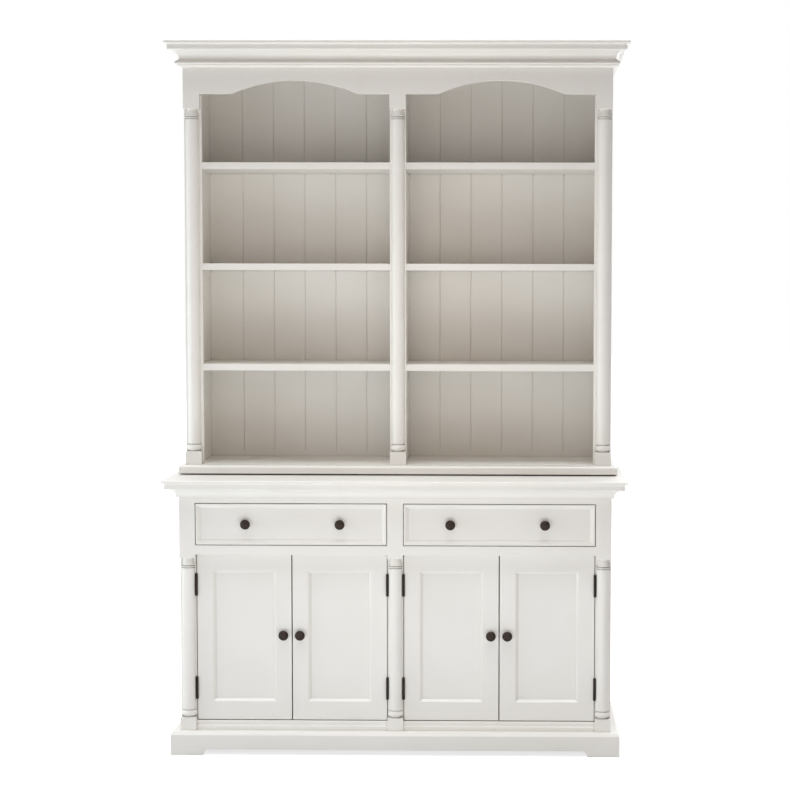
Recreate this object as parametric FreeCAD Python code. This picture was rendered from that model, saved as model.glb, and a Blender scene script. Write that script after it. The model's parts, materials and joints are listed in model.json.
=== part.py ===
import FreeCAD, Part
import math
import os

from FreeCAD import Vector

# A two-part painted hutch: a base with two drawers over two pairs of doors, and an open
# shelf unit standing on it. X runs to the right, Y to the back and Z up. The origin is on
# the floor, in the middle of the base's width and depth. All lengths are in millimetres.

# Overall sizes
base_width = 1336.0
base_depth = 500.0
hutch_width = 1344.0
hutch_body_depth = 306.0

# Working clearances
running_gap = 0.3
reveal_gap = 2.0
meeting_gap = 3.0
cut_overrun = 1.0

# Plinth
plinth_height = 72.0
plinth_overhang = 27.0
plinth_arch_height = 18.0
plinth_foot_length = 99.0
plinth_foot_sweep = 15.0
plinth_top_bevel = 9.0
plinth_bevel_depth = 6.0
foot_sweep_bow_share = 0.16

# Base carcass
base_floor_thickness = 24.0
base_side_thickness = 20.0
base_partition_thickness = 20.0
back_thickness = 13.0
base_post_width = 49.0
base_stile_thickness = 20.0
bottom_rail_height = 28.0
door_opening_height = 522.0
mid_rail_height = 29.0
drawer_opening_height = 131.5
top_rail_height = 65.5
dust_panel_thickness = 12.0
cupboard_shelf_thickness = 18.0
cupboard_shelf_lift = 273.0
cupboard_shelf_setback = 30.0
shelf_pin_radius = 3.0
shelf_pin_length = 12.0
shelf_pin_inset = 45.0

# Moulded strip in front of the bottom rails
strip_step_height = 13.0
strip_upper_depth = 6.0
strip_lower_depth = 14.0
strip_round = 3.0

# Base top
base_top_thickness = 8.0
base_top_overhang = 47.0
top_edge_round = 4.5

# Moulding under the base top and under the crown's cap, from its foot upwards
cornice_foot_height = 3.0
cornice_cove_height = 22.5
cornice_cove_out = 25.5
cornice_fascia_height = 14.5
cornice_fascia_round = 5.0
cornice_fascia_out = 31.5
cornice_strip_height = 6.5
cornice_strip_out = 36.0
base_cornice_foot_out = 7.0
crown_cornice_foot_out = 9.5

# Split columns, used on the base and on the hutch
column_radius = 21.0
column_projection = 21.0
base_foot_block = 40.0
base_head_drop = 11.0
hutch_foot_block = 41.0
torus_height = 20.0
torus_swell = 6.5
groove_height = 2.5
groove_radius = 17.0
thin_ring_height = 4.0
thin_ring_swell = 1.0
ring_height = 4.0
ring_swell = 1.8
bell_height = 13.5
bell_foot_radius = 20.0
neck_height = 5.5
neck_radius = 16.0

# Drawers
drawer_front_thickness = 20.0
drawer_lip = 4.5
drawer_bevel_width = 10.5
drawer_bevel_depth = 8.0
drawer_quirk_depth = 1.0
drawer_back_space = 40.0
drawer_top_space = 27.5
drawer_side_thickness = 12.0
drawer_bottom_thickness = 6.0
drawer_bottom_lift = 8.0
drawer_knob_offset = 146.0
drawer_knob_shift = 5.0
drawer_guide_height = 30.0
drawer_runner_width = 46.0

# Doors
door_thickness = 20.0
door_stile_width = 57.0
door_top_rail_width = 59.0
door_bottom_rail_width = 65.5
door_bevel_width = 8.0
door_bevel_depth = 7.0
door_panel_depth = 9.0
door_panel_thickness = 7.0
door_panel_lap = 8.0
door_knob_edge = 24.0
door_knob_lift = 267.0
catch_width = 36.0
catch_depth = 14.0
catch_height = 14.0
catch_edge = 14.0
catch_plate_thickness = 1.0

# Knobs
knob_rose_radius = 9.0
knob_rose_thickness = 2.5
knob_neck_radius = 5.5
knob_neck_end = 9.0
knob_radius = 15.5
knob_widest = 16.0
knob_projection = 25.0

# Butt hinges
hinge_height = 65.0
hinge_inset_bottom = 100.0
hinge_inset_top = 94.0
hinge_barrel_radius = 3.8
hinge_pin_radius = 2.0
hinge_pin_clearance = 0.05
hinge_leaf_thickness = 0.7
hinge_leaf_depth = 15.0
hinge_cap_height = 2.0
hinge_knuckles = 3

# Hutch
pad_radius = 14.0
pad_thickness = 4.0
pad_inset = 60.0
hutch_floor_thickness = 28.0
floor_nosing_out = 19.0
floor_nosing_drop = 2.0
floor_nosing_round = 9.0
floor_nosing_lower_round = 3.0
hutch_side_thickness = 35.0
hutch_partition_thickness = 38.0
hutch_post_width = 51.0
hutch_stile_width = 55.0
hutch_stile_thickness = 20.0
hutch_shelf_thickness = 21.0
hutch_shelf_pitch = 317.0
hutch_shelf_rows = 3
top_bay_height = 299.0
back_rail_height = 19.0
planks_per_bay = 6
outer_plank_extra = 7.5
plank_chamfer = 2.2
ceiling_thickness = 21.0

# Valance with its two arches
valance_clearance = 165.0
valance_height = 127.5
valance_leg_height = 46.0
arch_span = 396.0
arch_rise = 42.0

# Crown, from the cap down to the bead strip
cap_thickness = 7.0
cap_overhang = 50.5
cap_edge_round = 2.0
bead_slope_height = 7.5
bead_nose_height = 8.5
bead_nose_out = 18.5
bead_nose_swell = 2.6
bead_fillet_height = 4.0
bead_fillet_out = 14.2
bead_cavetto_height = 5.0
bead_foot_out = 5.0

# Bow of a quarter circle, as a share of its chord
quarter_bow_share = 0.2071

# Planes and levels that several pieces share
back_plane = base_depth / 2
back_panel_face = back_plane - back_thickness

base_half = base_width / 2
base_side_face = base_half - base_side_thickness
base_partition_face = base_partition_thickness / 2
post_inner = base_half - base_post_width
centre_post_face = base_post_width / 2
bay_centre = (post_inner + centre_post_face) / 2
base_face = base_top_overhang - base_depth / 2
door_plane = base_face + column_projection
stile_back = door_plane + base_stile_thickness
bottom_rail_top = plinth_height + bottom_rail_height
mid_rail_bottom = bottom_rail_top + door_opening_height
mid_rail_top = mid_rail_bottom + mid_rail_height
drawer_opening_top = mid_rail_top + drawer_opening_height
carcass_top = drawer_opening_top + top_rail_height
base_height = carcass_top + base_top_thickness
cornice_height = cornice_foot_height + cornice_cove_height + cornice_fascia_height + cornice_strip_height

hutch_half = hutch_width / 2
hutch_side_face = hutch_half - hutch_side_thickness
hutch_partition_face = hutch_partition_thickness / 2
hutch_face = back_plane - hutch_body_depth
hutch_stile_face = hutch_face + column_projection
hutch_stile_back = hutch_stile_face + hutch_stile_thickness
hutch_bottom = base_height + pad_thickness
hutch_floor_top = hutch_bottom + hutch_floor_thickness
ceiling_bottom = hutch_floor_top + hutch_shelf_rows * hutch_shelf_pitch + top_bay_height
ceiling_top = ceiling_bottom + ceiling_thickness
valance_bottom = hutch_floor_top + hutch_shelf_rows * hutch_shelf_pitch + valance_clearance
valance_straight = valance_bottom + valance_leg_height
bead_bottom = valance_bottom + valance_height
bead_fillet = bead_bottom + bead_cavetto_height
bead_nose = bead_fillet + bead_fillet_height
bead_slope = bead_nose + bead_nose_height
crown_bottom = bead_slope + bead_slope_height
cap_bottom = crown_bottom + cornice_height
hutch_top = cap_bottom + cap_thickness


def box(x, y, z):
    # Each argument is a (low, high) pair
    return Part.makeBox(x[1] - x[0], y[1] - y[0], z[1] - z[0], Vector(x[0], y[0], z[0]))


def mirrored(shape):
    return shape.mirror(Vector(0, 0, 0), Vector(1, 0, 0))


def with_mirror(shape):
    return [shape, mirrored(shape)]


def centred(x, half_width):
    return (x - half_width, x + half_width)


def outline_face(points, place):
    # Points are (u, v, bow) and run anticlockwise. A bow is the sagitta of the edge that
    # leaves the point, as a share of its chord, and it is positive where it swells outwards.
    edges = []
    for start, end in zip(points, points[1:] + points[:1]):
        u, v, bow = start
        du = end[0] - u
        dv = end[1] - v
        first = place(u, v)
        last = place(end[0], end[1])
        if bow:
            middle = place(u + du / 2 + dv * bow, v + dv / 2 - du * bow)
            edges.append(Part.Arc(first, middle, last).toShape())
        else:
            edges.append(Part.LineSegment(first, last).toShape())
    return Part.Face(Part.Wire(edges))


def save(node, solids):
    shape = solids[0] if len(solids) == 1 else Part.makeCompound(solids)
    shape.exportStep("parts/" + node + ".step")


def run_moulding(profile, half, face, reach):
    # A strip along the front and both sides, mitred at the corners. The profile is in
    # (out, z), measured outwards from the face that carries the strip.
    levels = [point[1] for point in profile]
    low = min(levels)
    rise = Vector(0, 0, max(levels) - low)
    corner_x = half + reach
    corner_y = face - reach

    def mitred(strip, corners):
        wedge = outline_face([(x, y, 0) for x, y in corners], lambda x, y: Vector(x, y, low))
        return strip.common(wedge.extrude(rise)).Solids[0]

    front_face = outline_face(profile, lambda out, z: Vector(-corner_x, face - out, z))
    front = front_face.extrude(Vector(2 * corner_x, 0, 0))
    front_corners = [(-corner_x, corner_y), (corner_x, corner_y), (half, face), (-half, face)]
    side_face = outline_face(profile, lambda out, z: Vector(half + out, corner_y, z))
    side = side_face.extrude(Vector(0, back_plane - corner_y, 0))
    side_corners = [(half, face), (corner_x, corner_y), (corner_x, back_plane), (half, back_plane)]
    return [mitred(front, front_corners)] + with_mirror(mitred(side, side_corners))


def rounded_plate(half, front, z, radius):
    # A flat plate whose upper edges are rounded, but for the one on its back
    plate = box((-half, half), (front, back_plane), z)
    edges = []
    for edge in plate.Edges:
        middle = edge.CenterOfMass
        if middle.z > z[1] - cut_overrun and middle.y < back_plane - cut_overrun:
            edges.append(edge)
    return plate.makeFillet(radius, edges)


def cornice(foot, foot_out):
    # A foot, a cove, a fascia with a rounded lower edge and a hollow strip on top
    cove = foot + cornice_foot_height
    fascia = cove + cornice_cove_height
    strip = fascia + cornice_fascia_height
    top = strip + cornice_strip_height
    fascia_out = foot_out + cornice_fascia_out
    return [
        (0, foot, 0),
        (foot_out, foot, 0),
        (foot_out, cove, -quarter_bow_share),
        (foot_out + cornice_cove_out, fascia, 0),
        (fascia_out - cornice_fascia_round, fascia, quarter_bow_share),
        (fascia_out, fascia + cornice_fascia_round, 0),
        (fascia_out, strip, -quarter_bow_share),
        (foot_out + cornice_strip_out, top, 0),
        (0, top, 0),
    ]


def split_column(x, plane, foot, turned, head, block_width):
    # The front half of a turned post: a square foot block, a ring, the shaft, a capital
    # and, where head lies above the turned part, a square block on top.
    capital_height = neck_height + bell_height + ring_height + thin_ring_height + 2 * groove_height
    foot_height = torus_height + 2 * groove_height
    shaft_height = turned[1] - turned[0] - foot_height - capital_height

    # Each step going up has a height, a lower and an upper radius, and a swell
    steps = [
        (groove_height, groove_radius, groove_radius, 0),
        (torus_height, groove_radius, groove_radius, torus_swell),
        (groove_height, groove_radius, groove_radius, 0),
        (shaft_height, column_radius, column_radius, 0),
        (groove_height, groove_radius, groove_radius, 0),
        (thin_ring_height, column_radius, column_radius, thin_ring_swell),
        (groove_height, groove_radius, groove_radius, 0),
        (ring_height, column_radius, column_radius, ring_swell),
        (bell_height, bell_foot_radius, neck_radius, 0),
        (neck_height, neck_radius, neck_radius, 0),
    ]
    z = turned[0]
    profile = [(0, z, 0)]
    for height, low_radius, high_radius, swell in steps:
        if profile[-1][:2] == (low_radius, z):
            profile.pop()
        profile += [(low_radius, z, swell / height), (high_radius, z + height, 0)]
        z += height
    profile.append((0, z, 0))

    half_face = outline_face(profile, lambda radius, level: Vector(x + radius, plane, level))
    solid = half_face.revolve(Vector(x, plane, 0), Vector(0, 0, 1), -180)
    block_x = centred(x, block_width / 2)
    block_y = (plane - column_projection, plane)
    solid = solid.fuse(box(block_x, block_y, (foot, turned[0])))
    if head > turned[1]:
        solid = solid.fuse(box(block_x, block_y, (turned[1], head)))
    return solid.removeSplitter().Solids[0]


def pocket(x, z, front, inset, depth):
    # A recess whose four walls slope inwards from the front plane
    flare = cut_overrun * inset / depth
    return Part.makeWedge(
        x[0] - flare, front - cut_overrun, z[0] - flare, z[0] + inset, x[0] + inset,
        x[1] + flare, front + depth, z[1] + flare, z[1] - inset, x[1] - inset,
    )


def round_bow(start, end):
    # The bow of an arc whose centre lies on the axis that the two points turn about
    du = end[0] - start[0]
    dv = end[1] - start[1]
    sums = [point[0] ** 2 + point[1] ** 2 for point in (start, end)]
    centre = (sums[1] - sums[0]) / (2 * dv)
    radius = math.hypot(start[0], start[1] - centre)
    chord = math.hypot(du, dv)
    return (radius - math.sqrt(radius ** 2 - chord ** 2 / 4)) / chord


def make_knob(x, face, z):
    neck = (knob_neck_radius, knob_neck_end)
    rim = (knob_radius, knob_widest)
    tip = (0, knob_projection)
    profile = [
        (0, 0, 0),
        (knob_rose_radius, 0, 0),
        (knob_rose_radius, knob_rose_thickness, 0),
        (knob_neck_radius, knob_rose_thickness + knob_rose_thickness, 0),
        neck + (round_bow(neck, rim),),
        rim + (round_bow(rim, tip),),
        tip + (0,),
    ]
    half_face = outline_face(profile, lambda radius, out: Vector(x + radius, face - out, z))
    return half_face.revolve(Vector(x, face, z), Vector(0, 1, 0), 360)


def plinth_board(half):
    # A board with two feet and a low arch between them, in its own (u, z)
    foot = half - plinth_foot_length
    arch = foot - plinth_foot_sweep
    return [
        (-half, 0, 0),
        (-foot, 0, -foot_sweep_bow_share),
        (-arch, plinth_arch_height, 0),
        (arch, plinth_arch_height, -foot_sweep_bow_share),
        (foot, 0, 0),
        (half, 0, 0),
        (half, plinth_height, 0),
        (-half, plinth_height, 0),
    ]


def make_plinth():
    outer = base_half + plinth_overhang
    front_plane = base_face - plinth_overhang
    bevel = [
        (0, 0, 0),
        (plinth_overhang, 0, 0),
        (plinth_overhang, plinth_height - plinth_top_bevel, 0),
        (plinth_overhang - plinth_bevel_depth, plinth_height, 0),
        (0, plinth_height, 0),
    ]
    front, right = run_moulding(bevel, base_half, base_face, plinth_overhang)[:2]
    front_arch = outline_face(plinth_board(outer), lambda u, z: Vector(u, front_plane, z))
    front = front.common(front_arch.extrude(Vector(0, plinth_overhang, 0)))
    middle = (front_plane + back_plane) / 2
    side_half = (back_plane - front_plane) / 2
    side_arch = outline_face(plinth_board(side_half), lambda u, z: Vector(base_half, middle + u, z))
    right = right.common(side_arch.extrude(Vector(plinth_overhang, 0, 0)))
    rear = box((-base_half, base_half), (back_plane - plinth_overhang, back_plane), (0, plinth_height))
    save("plinth_boards", [front.Solids[0]] + with_mirror(right.Solids[0]) + [rear])


def make_base_carcass():
    inside_y = (stile_back, back_panel_face)
    floor_y = (base_face, back_plane - plinth_overhang)
    floor_z = (plinth_height - base_floor_thickness, plinth_height)
    upright_z = (plinth_height, carcass_top)
    side = box((base_side_face, base_half), (stile_back, back_plane), upright_z)
    save("base_floor", [box((-base_half, base_half), floor_y, floor_z)])
    save("base_sides", with_mirror(side))
    save("base_partition", [box(centred(0, base_partition_face), inside_y, upright_z)])
    back_x = (-base_side_face, base_side_face)
    save("base_back", [box(back_x, (back_panel_face, back_plane), upright_z)])

    # Face frame: uprights, split columns in front of them, and rails between
    stile_y = (door_plane, stile_back)
    outer_stile = box((post_inner, base_half), stile_y, upright_z)
    centre_stile = box(centred(0, centre_post_face), stile_y, upright_z)
    save("base_stiles", with_mirror(outer_stile) + [centre_stile])
    turned = (plinth_height + base_foot_block, mid_rail_bottom - base_head_drop)
    columns = []
    for x in (-post_inner - centre_post_face, 0, post_inner + centre_post_face):
        columns.append(split_column(x, door_plane, plinth_height, turned, carcass_top, base_post_width))
    save("base_columns", columns)
    rail_x = (centre_post_face, post_inner)
    rail_y = (base_face, stile_back)
    top_rail = box(rail_x, rail_y, (drawer_opening_top, carcass_top))
    mid_rail = box(rail_x, rail_y, (mid_rail_bottom, mid_rail_top))
    save("base_rails", with_mirror(top_rail) + with_mirror(mid_rail))
    save("base_bottom_rails", with_mirror(bottom_rail(rail_x)))


def bottom_rail(x):
    # A rail level with the doors, with a stepped moulding on its front
    upper = door_plane - strip_upper_depth
    lower = door_plane - strip_lower_depth
    step = plinth_height + strip_step_height
    profile = [
        (stile_back, plinth_height, 0),
        (stile_back, bottom_rail_top, 0),
        (upper + strip_round, bottom_rail_top, quarter_bow_share),
        (upper, bottom_rail_top - strip_round, 0),
        (upper, step + strip_round, -quarter_bow_share),
        (upper - strip_round, step, 0),
        (lower, step, 0),
        (lower, plinth_height, 0),
    ]
    face = outline_face(profile, lambda y, z: Vector(x[0], y, z))
    return face.extrude(Vector(x[1] - x[0], 0, 0))


def make_base_top():
    z = (carcass_top, base_height)
    half = base_half + base_top_overhang
    save("base_top", [rounded_plate(half, base_face - base_top_overhang, z, top_edge_round)])
    profile = cornice(carcass_top - cornice_height, base_cornice_foot_out)
    reach = base_cornice_foot_out + cornice_strip_out
    save("base_top_mouldings", run_moulding(profile, base_half, base_face, reach))


def make_base_inside():
    bay_x = (base_partition_face, base_side_face)
    bay_y = (stile_back, back_panel_face)
    dust_top = mid_rail_bottom + dust_panel_thickness
    save("dust_panels", with_mirror(box(bay_x, bay_y, (mid_rail_bottom, dust_top))))

    # Each drawer runs on two strips and between two guides
    drawer_x = (centre_post_face + reveal_gap, post_inner - reveal_gap)
    inner_end = base_partition_face + drawer_runner_width
    outer_start = base_side_face - drawer_runner_width
    guide_z = (mid_rail_top, mid_rail_top + drawer_guide_height)
    runner_z = (dust_top, mid_rail_top)
    runners = [
        box((base_partition_face, inner_end), bay_y, runner_z),
        box((outer_start, base_side_face), bay_y, runner_z),
        box((base_partition_face, drawer_x[0] - running_gap), bay_y, guide_z),
        box((drawer_x[1] + running_gap, base_side_face), bay_y, guide_z),
    ]
    save("drawer_runners", runners + [mirrored(runner) for runner in runners])

    shelf_x = (base_partition_face + running_gap, base_side_face - running_gap)
    shelf_y = (stile_back + cupboard_shelf_setback, back_panel_face - running_gap)
    shelf_bottom = plinth_height + cupboard_shelf_lift
    shelf_z = (shelf_bottom, shelf_bottom + cupboard_shelf_thickness)
    save("cupboard_shelves", with_mirror(box(shelf_x, shelf_y, shelf_z)))
    pins = []
    pin_z = shelf_bottom - shelf_pin_radius
    for y in (shelf_y[0] + shelf_pin_inset, shelf_y[1] - shelf_pin_inset):
        for x in (base_partition_face, base_side_face - shelf_pin_length):
            end = Vector(x, y, pin_z)
            pins += with_mirror(Part.makeCylinder(shelf_pin_radius, shelf_pin_length, end, Vector(1, 0, 0)))
    save("shelf_pins", pins)


def door_places():
    # For each door, left to right: its hinge edge and the way that it reaches from there
    return [
        (-post_inner, 1),
        (-centre_post_face, -1),
        (centre_post_face, 1),
        (post_inner, -1),
    ]


def make_doors():
    door_z = (bottom_rail_top + reveal_gap, mid_rail_bottom - reveal_gap)
    width = bay_centre - centre_post_face - reveal_gap - meeting_gap / 2
    hinge_levels = [door_z[0] + hinge_inset_bottom, door_z[1] - hinge_inset_top]
    fixed_leaves = []
    pins = []
    catches = []
    for number, (edge, way) in enumerate(door_places(), 1):
        name = "door_" + str(number)
        hinge_side = edge + way * reveal_gap
        free_side = hinge_side + way * width
        x = (min(hinge_side, free_side), max(hinge_side, free_side))
        frame, panel = framed_door(x, door_z)
        save(name + "_frame", frame)
        save(name + "_panel", [panel])
        knob_x = free_side - way * door_knob_edge
        save(name + "_knob", [make_knob(knob_x, door_plane, door_z[0] + door_knob_lift)])

        fittings = []
        for level in hinge_levels:
            fixed, moving, pin = butt_hinge(edge, way, level)
            fixed_leaves.append(fixed)
            fittings.append(moving)
            pins.append(pin)
        catch, plate = door_catch(free_side, way, door_z[1])
        catches.append(catch)
        save(name + "_fittings", fittings + [plate])
    save("hinge_leaves", fixed_leaves)
    save("hinge_pins", pins)
    save("door_catches", catches)


def framed_door(x, z):
    back = door_plane + door_thickness
    rails_z = (z[0] + door_bottom_rail_width, z[1] - door_top_rail_width)
    stiles_x = (x[0] + door_stile_width, x[1] - door_stile_width)
    slab = box(x, (door_plane, back), z)
    window_x = (stiles_x[0] - door_bevel_width, stiles_x[1] + door_bevel_width)
    window_z = (rails_z[0] - door_bevel_width, rails_z[1] + door_bevel_width)
    slab = slab.cut(pocket(window_x, window_z, door_plane, door_bevel_width, door_bevel_depth))
    slab = slab.cut(box(stiles_x, (door_plane, back), rails_z))
    panel_x = (stiles_x[0] - door_panel_lap, stiles_x[1] + door_panel_lap)
    panel_z = (rails_z[0] - door_panel_lap, rails_z[1] + door_panel_lap)
    panel_y = (door_plane + door_panel_depth, door_plane + door_panel_depth + door_panel_thickness)
    slab = slab.cut(box(panel_x, (panel_y[0], back), panel_z))
    panel = box(panel_x, panel_y, panel_z)
    y = (door_plane, back)
    members = [
        slab.common(box((x[0], stiles_x[0]), y, z)),
        slab.common(box((stiles_x[1], x[1]), y, z)),
        slab.common(box(stiles_x, y, (z[0], rails_z[0]))),
        slab.common(box(stiles_x, y, (rails_z[1], z[1]))),
    ]
    return [member.Solids[0] for member in members], panel


def butt_hinge(edge, way, level):
    # The fixed leaf lies on the post's edge and the moving leaf on the door's edge. The
    # barrel stands in front of the gap, with the moving leaf's knuckle in the middle.
    axis_x = edge + way * reveal_gap / 2
    axis_y = door_plane - hinge_barrel_radius - running_gap
    bottom = level - hinge_height / 2
    pitch = hinge_height / hinge_knuckles
    bore = hinge_pin_radius + hinge_pin_clearance
    leaf_y = (axis_y + (bore + hinge_barrel_radius) / 2, door_plane + hinge_leaf_depth)
    leaf_z = (bottom, bottom + hinge_height)

    def leaf_plate(start):
        ends = (start, start + way * hinge_leaf_thickness)
        return box((min(ends), max(ends)), leaf_y, leaf_z)

    def barrel(low, high, radius):
        return Part.makeCylinder(radius, high - low, Vector(axis_x, axis_y, low))

    fixed = leaf_plate(edge)
    moving = leaf_plate(edge + way * (reveal_gap - hinge_leaf_thickness))
    middle = (bottom + pitch, bottom + pitch + pitch)
    fixed = fixed.fuse([
        barrel(bottom, middle[0] - running_gap, hinge_barrel_radius),
        barrel(middle[1] + running_gap, bottom + hinge_height, hinge_barrel_radius),
    ])
    clear_radius = hinge_barrel_radius + running_gap
    fixed = fixed.cut(barrel(middle[0] - running_gap, middle[1] + running_gap, clear_radius))
    moving = moving.fuse(barrel(middle[0], middle[1], hinge_barrel_radius))
    for low, high in ((bottom, middle[0]), (middle[1], bottom + hinge_height)):
        moving = moving.cut(barrel(low, high, clear_radius))
    hole = barrel(bottom - cut_overrun, bottom + hinge_height + cut_overrun, bore)
    pin = barrel(bottom, bottom + hinge_height, hinge_pin_radius).fuse([
        barrel(bottom - hinge_cap_height, bottom, hinge_barrel_radius),
        barrel(bottom + hinge_height, bottom + hinge_height + hinge_cap_height, hinge_barrel_radius),
    ])
    return fixed.cut(hole).Solids[0], moving.cut(hole).Solids[0], pin.removeSplitter().Solids[0]


def door_catch(free_side, way, door_top):
    # A magnet block under the dust panel, and the plate that it holds on the door's back
    centre = free_side - way * (catch_edge + catch_width / 2)
    x = centred(centre, catch_width / 2)
    back = door_plane + door_thickness
    plate_y = (back, back + catch_plate_thickness)
    plate_z = (mid_rail_bottom - catch_height, door_top - reveal_gap)
    block_front = plate_y[1] + running_gap
    block = box(x, (block_front, block_front + catch_depth), (plate_z[0], mid_rail_bottom))
    return block, box(x, plate_y, plate_z)


def make_drawers():
    x = (centre_post_face + reveal_gap, post_inner - reveal_gap)
    z = (mid_rail_top + reveal_gap, drawer_opening_top - reveal_gap)
    front_back = base_face + drawer_front_thickness
    front = box(x, (base_face, front_back), z)
    lip_x = (x[0] + drawer_lip, x[1] - drawer_lip)
    lip_z = (z[0] + drawer_lip, z[1] - drawer_lip)
    front = front.cut(pocket(lip_x, lip_z, base_face, drawer_bevel_width, drawer_bevel_depth))
    field_x = (lip_x[0] + drawer_bevel_width, lip_x[1] - drawer_bevel_width)
    field_z = (lip_z[0] + drawer_bevel_width, lip_z[1] - drawer_bevel_width)
    field_y = base_face + drawer_bevel_depth + drawer_quirk_depth
    front = front.cut(box(field_x, (base_face, field_y), field_z))

    box_z = (mid_rail_top + running_gap, drawer_opening_top - drawer_top_space)
    box_y = (front_back, back_panel_face - drawer_back_space)
    inner_x = (x[0] + drawer_side_thickness, x[1] - drawer_side_thickness)
    inner_y = (front_back, box_y[1] - drawer_side_thickness)
    sides = [
        box((x[0], inner_x[0]), box_y, box_z),
        box((inner_x[1], x[1]), box_y, box_z),
    ]
    back = box(inner_x, (inner_y[1], box_y[1]), box_z)
    bottom_z = box_z[0] + drawer_bottom_lift
    bottom = box(inner_x, inner_y, (bottom_z, bottom_z + drawer_bottom_thickness))
    knob_middle = (x[0] + x[1]) / 2 - drawer_knob_shift
    knob_z = (z[0] + z[1]) / 2
    knobs = [
        make_knob(knob_middle - drawer_knob_offset, field_y, knob_z),
        make_knob(knob_middle + drawer_knob_offset, field_y, knob_z),
    ]
    pieces = {"front": [front], "sides": sides, "back": [back], "bottom": [bottom], "knobs": knobs}
    for piece, solids in pieces.items():
        save("drawer_right_" + piece, solids)
        save("drawer_left_" + piece, [mirrored(solid) for solid in solids])


def make_hutch_carcass():
    pads = []
    for y in (hutch_face + pad_inset, back_plane - pad_inset):
        for x in (-hutch_half + pad_inset, 0, hutch_half - pad_inset):
            pads.append(Part.makeCylinder(pad_radius, pad_thickness, Vector(x, y, base_height)))
    save("hutch_pads", pads)

    floor_z = (hutch_bottom, hutch_floor_top)
    save("hutch_floor", [box((-hutch_half, hutch_half), (hutch_face, back_plane), floor_z)])
    nosing_top = hutch_floor_top - floor_nosing_drop
    nosing = [
        (0, hutch_bottom, 0),
        (floor_nosing_out - floor_nosing_lower_round, hutch_bottom, quarter_bow_share),
        (floor_nosing_out, hutch_bottom + floor_nosing_lower_round, 0),
        (floor_nosing_out, nosing_top - floor_nosing_round, quarter_bow_share),
        (floor_nosing_out - floor_nosing_round, nosing_top, 0),
        (0, nosing_top, 0),
    ]
    save("hutch_floor_mouldings", run_moulding(nosing, hutch_half, hutch_face, floor_nosing_out))

    upright_z = (hutch_floor_top, cap_bottom)
    side = box((hutch_side_face, hutch_half), (hutch_stile_back, back_plane), upright_z)
    save("hutch_sides", with_mirror(side))
    partition_z = (hutch_floor_top, ceiling_bottom)
    inside_y = (hutch_stile_back, back_panel_face)
    save("hutch_partition", [box(centred(0, hutch_partition_face), inside_y, partition_z)])
    ceiling_z = (ceiling_bottom, ceiling_top)
    save("hutch_ceiling", [box((-hutch_side_face, hutch_side_face), inside_y, ceiling_z)])

    stile_y = (hutch_stile_face, hutch_stile_back)
    outer_stile = box((hutch_half - hutch_stile_width, hutch_half), stile_y, upright_z)
    centre_stile = box(centred(0, hutch_post_width / 2), stile_y, upright_z)
    save("hutch_stiles", with_mirror(outer_stile) + [centre_stile])
    turned = (hutch_floor_top + hutch_foot_block, valance_bottom)
    outer_x = hutch_half - hutch_post_width / 2
    columns = []
    for x in (-outer_x, 0, outer_x):
        columns.append(
            split_column(x, hutch_stile_face, hutch_floor_top, turned, valance_bottom, hutch_post_width)
        )
    save("hutch_columns", columns)


def make_valance():
    # One board with three legs and two shallow arches, from the columns up to the cap
    leg = hutch_half - hutch_post_width
    centre_leg = hutch_post_width / 2
    middle = (leg + centre_leg) / 2
    arch = (middle - arch_span / 2, middle + arch_span / 2)
    bow = arch_rise / arch_span
    right = [
        (centre_leg, valance_bottom, 0),
        (centre_leg, valance_straight, 0),
        (arch[0], valance_straight, -bow),
        (arch[1], valance_straight, 0),
        (leg, valance_straight, 0),
        (leg, valance_bottom, 0),
        (hutch_half, valance_bottom, 0),
        (hutch_half, cap_bottom, 0),
    ]
    left = [
        (-hutch_half, cap_bottom, 0),
        (-hutch_half, valance_bottom, 0),
        (-leg, valance_bottom, 0),
        (-leg, valance_straight, 0),
        (-arch[1], valance_straight, -bow),
        (-arch[0], valance_straight, 0),
        (-centre_leg, valance_straight, 0),
        (-centre_leg, valance_bottom, 0),
    ]
    face = outline_face(right + left, lambda x, z: Vector(x, hutch_face, z))
    save("hutch_valance", [face.extrude(Vector(0, column_projection, 0))])


def make_shelves():
    x = (hutch_partition_face, hutch_side_face)
    y = (hutch_stile_back, back_panel_face)
    shelves = []
    for row in range(hutch_shelf_rows):
        top = hutch_floor_top + (row + 1) * hutch_shelf_pitch
        shelves += with_mirror(shelf_board(x, y, (top - hutch_shelf_thickness, top)))
    save("hutch_shelves", shelves)


def shelf_board(x, y, z):
    # The front edge comes forward between the uprights, as far as their faces
    stile_inner = hutch_half - hutch_stile_width
    tongue = box((hutch_post_width / 2, stile_inner), (hutch_stile_face, y[0]), z)
    return box(x, y, z).fuse(tongue).removeSplitter().Solids[0]


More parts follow.
